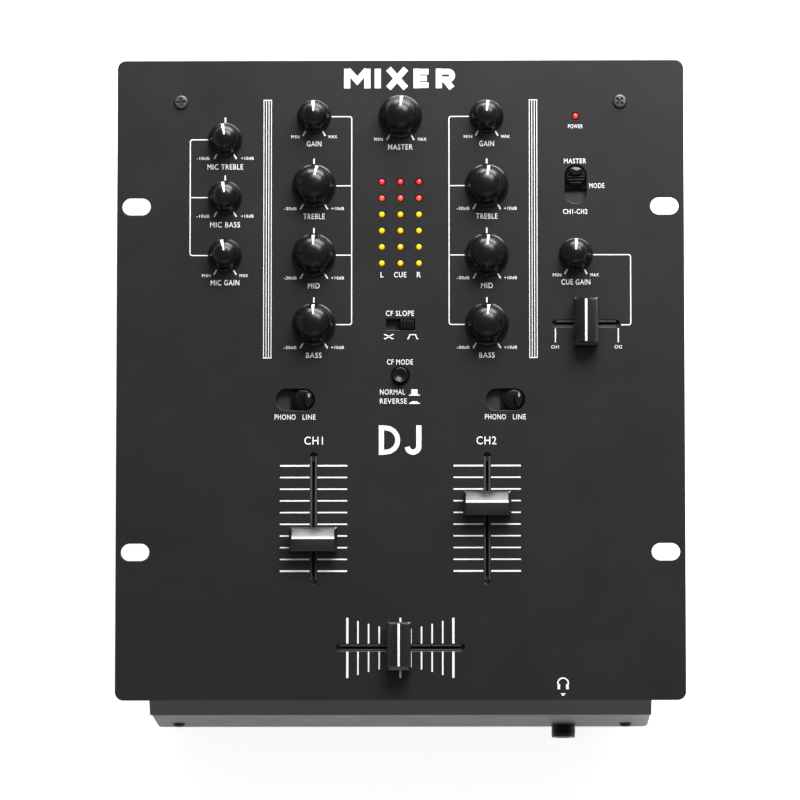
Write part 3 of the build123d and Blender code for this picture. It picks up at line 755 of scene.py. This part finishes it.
def fader_scales(bm):
    """The channel faders' rungs, the crossfader's comb, and the cue fader's two end marks."""
    for centre in (-CHANNEL_X, CHANNEL_X):
        for index in range(10):
            y = -39.2 - index * 5.245
            thick = 0.75 if index in (0, 9) else 0.6
            stroke(bm, [(centre - 15.0, y), (centre - 1.75, y)], thick)
            stroke(bm, [(centre + 1.75, y), (centre + 15.0, y)], thick)
    for index, (upper, lower) in enumerate(CROSS_SCALE):
        for side in (-1, 1):
            x = side * (9.42 + 4.72 * index)
            thick = 1.0 if index == 3 else 0.65
            stroke(bm, [(x, upper), (x, -118.8)], thick)
            stroke(bm, [(x, -122.4), (x, lower)], thick)
    for side in (-1, 1):
        stroke(bm, [(side * 4.72, -112.2), (side * 4.72, -118.8)], 0.65)
        stroke(bm, [(side * 4.72, -122.4), (side * 4.72, -129.4)], 0.65)
    stroke(bm, [(0, -107.3), (0, -118.8)], 0.85)
    stroke(bm, [(0, -122.4), (0, -134.1)], 0.85)
    for x in (69.3, 97.4):
        stroke(bm, [(x, 22.4), (x, 16.2)], 0.5)


def section_names(bm):
    """The names beside the lamps, switches and faders."""
    label(bm, "L", -8.2, 46.8, 2.4, 1.3)
    label(bm, "CUE", -0.1, 46.8, 2.4, 5.5)
    label(bm, "R", 8.3, 46.8, 2.4, 1.8)
    label(bm, "POWER", 78.5, 113.8, 1.8, 6.6)
    label(bm, "MASTER", 78.3, 98.1, 2.2, 9.9)
    label(bm, "CH1-CH2", 78.3, 75.2, 2.2, 10.9)
    label(bm, "MODE", 88.0, 86.9, 2.2, 6.8)
    label(bm, "CF SLOPE", -0.2, 29.35, 2.4, 12.6)
    label(bm, "CF MODE", -0.2, 7.4, 2.4, 11.6)
    label(bm, "NORMAL", -3.5, -6.1, 2.4, 11.2)
    label(bm, "REVERSE", -3.1, -10.2, 2.4, 12.1)
    for side in (-1, 1):
        label(bm, "PHONO", side * 46.95 - 4.5, -17.3, 2.4, 9.4)
        label(bm, "LINE", side * 46.95 + 6.2, -17.3, 2.3, 5.8)
    label(bm, "CH1", -CHANNEL_X, -27.9, 3.6, 8.3)
    label(bm, "CH2", 38.4, -27.9, 3.6, 8.9)
    label(bm, "CH1", 69.1, 14.1, 1.5, 3.4)
    label(bm, "CH2", 97.4, 14.1, 1.5, 3.4)


def curve_icons(bm):
    """Two crossing fade curves, a plateau curve, and the button's raised and pressed outlines."""
    for flip in (-1, 1):
        rising = []
        for step in range(13):
            t = step / 12
            rising.append((-7.3 + 4.3 * t, 18.85 + flip * 0.95 * math.cos(math.pi * t)))
        stroke(bm, rising, 0.45)
    stroke(bm, [(3.0, 17.9), (3.6, 17.9), (4.2, 19.7), (6.8, 19.7), (7.4, 17.9), (8.0, 17.9)], 0.45)
    for foot, rise in ((-7.5, 2.6), (-11.2, 0.9)):
        stroke(bm, [(3.9, foot), (8.7, foot)], 0.5)
        stroke(bm, [(6.3, foot), (6.3, foot + rise)], 2.8, 0.0, 0.034)


def block_letters(bm, words, x, y, height, thick, gap, spread):
    """Plain heavy capitals drawn with strokes, centred on (x, y)."""
    widths = {"M": 1.12, "I": 0.0, "X": 1.0, "E": 0.66, "R": 0.74, "D": 0.82, "J": 0.58}
    tall = height - thick
    total = sum(widths[letter] * spread * tall for letter in words)
    total += len(words) * thick + gap * (len(words) - 1)
    left = x - total / 2 + thick / 2
    low = y - tall / 2
    for letter in words:
        wide = widths[letter] * spread * tall

        def at(u, v):
            return left + u * wide, low + v * tall

        edge = thick / 2 / tall
        if letter in "MIER":
            stroke(bm, [at(0, -edge), at(0, 1 + edge)], thick)
        if letter == "M":
            stroke(bm, [at(1, -edge), at(1, 1 + edge)], thick)
            shoulder = 1 + edge * 0.6
            stroke(bm, [at(0.02, shoulder), at(0.5, 0.34), at(0.98, shoulder)], thick, 0.0, 0.034)
        elif letter == "X":
            stroke(bm, [at(0.02, -edge), at(0.98, 1 + edge)], thick)
            stroke(bm, [at(0.98, -edge), at(0.02, 1 + edge)], thick, 0.0, 0.034)
        elif letter == "E":
            for v in (0, 0.5, 1):
                stroke(bm, [at(0, v), at(1.0 if v != 0.5 else 0.86, v)], thick * 0.92, 0.0, 0.034)
        elif letter in "RD":
            foot = 0.42 if letter == "R" else 0.0
            half = (1 - foot) / 2
            bowl = [at(0, 1)]
            for step in range(9):
                angle = math.radians(90 - 22.5 * step)
                bowl.append((at(1, 0)[0] + half * tall * (math.cos(angle) - 1),
                             low + (1 - half) * tall + half * tall * math.sin(angle)))
            stroke(bm, bowl + [at(0, foot)], thick * 0.92, 0.0, 0.034)
            if letter == "R":
                stroke(bm, [at(0.45, foot), at(0.98, -edge)], thick, 0.0, 0.038)
            else:
                stroke(bm, [at(0, -edge), at(0, 1 + edge)], thick)
        elif letter == "J":
            hook = [at(1, 1 + edge)]
            for step in range(8):
                angle = math.radians(-25 * step)
                hook.append((at(0.5, 0)[0] + wide / 2 * math.cos(angle),
                             low + wide / 2 * (1 + math.sin(angle))))
            stroke(bm, hook, thick)
        left += wide + thick + gap


def title(bm):
    """A plain word for what the object is, at the rear edge."""
    block_letters(bm, "MIXER", -0.3, 135.7, 8.9, 2.75, 1.9, 1.32)


def emblem(bm):
    """Two plain capitals between the channel faders."""
    block_letters(bm, "DJ", -0.1, -27.7, 13.2, 2.3, 1.9, 0.82)


def headphone_icon(bm):
    """A headphone outline over the front socket, with a small arrow below it."""
    band = []
    for step in range(17):
        angle = math.radians(-10 + 200 * step / 16)
        band.append((72.3 + 2.35 * math.cos(angle), -136.6 + 2.35 * math.sin(angle)))
    stroke(bm, band, 0.6)
    for side in (-1, 1):
        stroke(bm, [(72.3 + side * 1.9, -136.9), (72.3 + side * 1.9, -139.2)], 1.15)
    stroke(bm, [(72.3, -141.0), (72.3, -141.5)], 2.0)
    stroke(bm, [(72.3, -141.4), (72.3, -142.1)], 1.0)


print_piece("print_knob_marks", knob_marks)
print_piece("print_knob_names", knob_names)
print_piece("print_knob_ends", knob_ends)
print_piece("print_brackets", brackets)
print_piece("print_separators", separators)
print_piece("print_fader_scales", fader_scales)
print_piece("print_section_names", section_names)
print_piece("print_curve_icons", curve_icons)
print_piece("print_title", title)
print_piece("print_emblem", emblem)
print_piece("print_headphone_icon", headphone_icon)


# ---------------------------------------------------------------- floor, light and camera

def area_light(name, where, aim, width, height, power, colour):
    """A soft rectangular light at a place in metres, turned towards another."""
    lamp = bpy.data.lights.new(name, "AREA")
    lamp.shape = "RECTANGLE"
    lamp.size, lamp.size_y = width, height
    lamp.energy = power
    lamp.color = colour
    holder = bpy.data.objects.new(name, lamp)
    bpy.context.scene.collection.objects.link(holder)
    holder.location = where
    holder.rotation_euler = (Vector(aim) - Vector(where)).to_track_quat("-Z", "Y").to_euler()
    holder.visible_camera = False


def build_stage():
    """A pale floor, a weak even surround, two soft lights behind and a fill in front."""
    floor_mesh = bpy.data.meshes.new("floor")
    half = 6.0
    floor_mesh.from_pydata([(-half, -half, 0), (half, -half, 0), (half, half, 0), (-half, half, 0)], [],
                           [(0, 1, 2, 3)])
    floor = bpy.data.objects.new("floor", floor_mesh)
    white = surface("floor_white", (0.90, 0.90, 0.90), (0.93, 0.93, 0.93), (0.7, 0.8), 40, 0.00001)
    shader = white.node_tree.nodes["Principled BSDF"]
    shader.inputs["Emission Color"].default_value = (1, 1, 1, 1)
    shader.inputs["Emission Strength"].default_value = 0.78
    floor_mesh.materials.append(white)
    bpy.context.scene.collection.objects.link(floor)
    world = bpy.data.worlds.new("studio")
    bpy.context.scene.world = world
    world.use_nodes = True
    world.node_tree.nodes["Background"].inputs["Color"].default_value = (0.97, 0.97, 1.0, 1)
    world.node_tree.nodes["Background"].inputs["Strength"].default_value = 0.29
    tone = (0.99, 0.98, 1.0)
    area_light("low_strip", (0.2, 1.15, 0.30), (0, 0, 0.09), 1.5, 0.46, 34, tone)
    area_light("rear_softbox", (0.22, 0.66, 0.78), (0, 0.1, 0.08), 0.70, 0.40, 14.5, tone)
    area_light("front_fill", (0.3, -2.4, 0.9), (0, -0.6, 0), 1.8, 0.8, 3, tone)


def build_camera():
    """A long lens above the faceplate, leaning a little towards the user and the right."""
    data = bpy.data.cameras.new("camera")
    distance = 3.2
    data.sensor_width = 36.0
    data.lens = data.sensor_width * distance / 0.3572
    data.clip_start, data.clip_end = 0.1, 50
    camera = bpy.data.objects.new("camera", data)
    bpy.context.scene.collection.objects.link(camera)
    lean, side = math.radians(6.9), math.radians(0.76)
    back = Vector((math.sin(side), -math.sin(lean), math.cos(lean))).normalized()
    right = Vector((0, 1, 0)).cross(back).normalized()
    up = back.cross(right)
    aim = on_plate(-0.16, -9.7)
    turn = Matrix((right, up, back)).transposed().to_4x4()
    camera.matrix_world = Matrix.Translation(aim + back * distance) @ turn
    bpy.context.scene.camera = camera


build_stage()
build_camera()
bpy.context.scene.view_settings.view_transform = "Standard"
